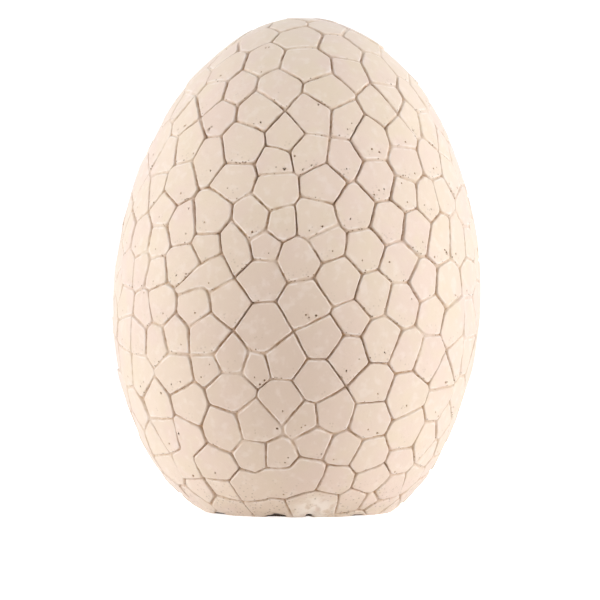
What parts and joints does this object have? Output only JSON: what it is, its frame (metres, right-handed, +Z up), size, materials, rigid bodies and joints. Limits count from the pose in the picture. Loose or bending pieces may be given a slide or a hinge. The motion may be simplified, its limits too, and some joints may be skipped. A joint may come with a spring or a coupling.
{
  "type": "fossil dinosaur egg",
  "caption": "Solid cast-plaster dinosaur egg with raised polygonal shell plates parted by grooves, standing upright on a small flat foot.",
  "frame": {"origin": "middle of the foot's flat underside, on the surface the egg stands on", "axes": "+Z up along the egg's height, -Y towards the front"},
  "size_m": [0.0596, 0.0594, 0.0799],
  "materials": {
    "plaster": "matt cast plaster, pale pinkish cream, slightly darker in the grooves"
  },
  "bodies": {
    "root": {"egg": "plaster"}
  },
  "joints": []
}
